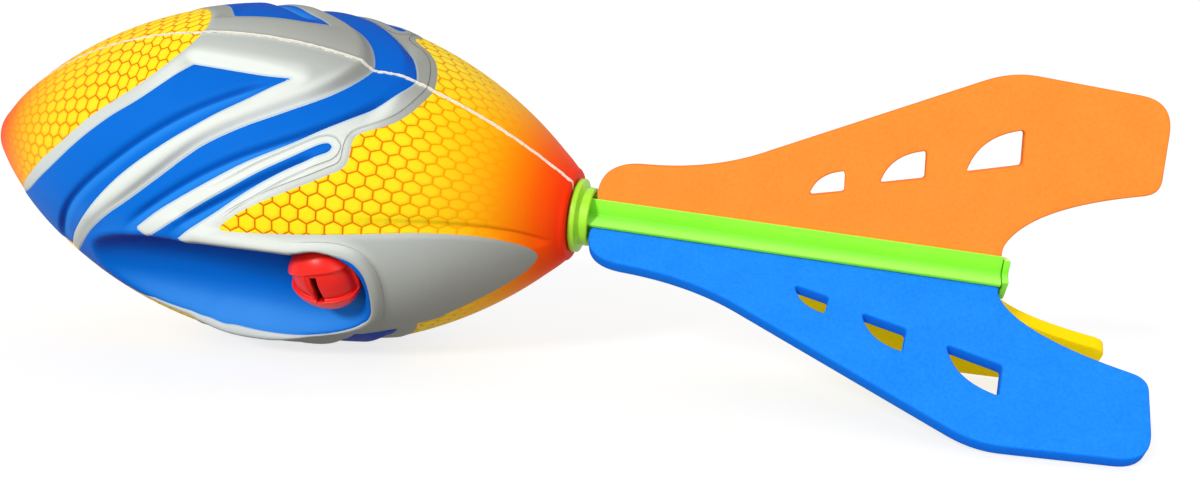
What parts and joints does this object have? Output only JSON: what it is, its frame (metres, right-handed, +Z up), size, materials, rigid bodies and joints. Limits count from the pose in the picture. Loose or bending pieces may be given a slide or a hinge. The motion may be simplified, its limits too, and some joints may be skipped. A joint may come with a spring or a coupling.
{
  "type": "finned foam throwing football",
  "caption": "Foam football with whistles in its finger scoops and a slotted plastic tail that carries swept, flexing foam fins with vents.",
  "frame": {"origin": "centre of the underside of the toy's box, on the surface that its belly and its two lower fins rest on", "axes": "+X from the nose to the tail, level with the ground, +Z up, -Y to the side of the blue fin"},
  "size_m": [0.3214, 0.095, 0.0952],
  "materials": {
    "painted_foam": "soft foam with a printed matt skin",
    "red_plastic": "semi-gloss moulded",
    "hub_green_plastic": "semi-gloss moulded",
    "core_green_plastic": "semi-gloss moulded",
    "orange_foam_sheet": "matt die-cut foam",
    "blue_foam_sheet": "matt die-cut foam",
    "yellow_foam_sheet": "matt die-cut foam"
  },
  "bodies": {
    "toy": {"foam_body_left_half": "painted_foam", "foam_body_right_half": "painted_foam", "whistle_housing_left": "red_plastic", "whistle_cap_left": "red_plastic", "whistle_housing_right": "red_plastic", "whistle_cap_right": "red_plastic", "tail_hub": "hub_green_plastic", "tail_core": "core_green_plastic", "tail_end_cap": "core_green_plastic"},
    "top_fin": {"top_fin_orange": "orange_foam_sheet"},
    "left_fin": {"left_fin_blue": "blue_foam_sheet"},
    "right_fin": {"right_fin_yellow": "yellow_foam_sheet"}
  },
  "joints": [
    {"name": "top_fin_flex", "type": "hinge", "parent": "toy", "child": "top_fin", "pos_m": [0.07347, 0, 0.04429], "axis": [0.9978, 0, -0.0661], "range_deg": [-30, 30], "stiffness_Nm_per_rad": 0.15},
    {"name": "left_fin_flex", "type": "hinge", "parent": "toy", "child": "left_fin", "pos_m": [0.07282, -0.00441, 0.03449], "axis": [0.9978, 0, -0.0661], "range_deg": [-30, 30], "stiffness_Nm_per_rad": 0.15},
    {"name": "right_fin_flex", "type": "hinge", "parent": "toy", "child": "right_fin", "pos_m": [0.07282, 0.00441, 0.03449], "axis": [0.9978, 0, -0.0661], "range_deg": [-30, 30], "stiffness_Nm_per_rad": 0.15}
  ]
}
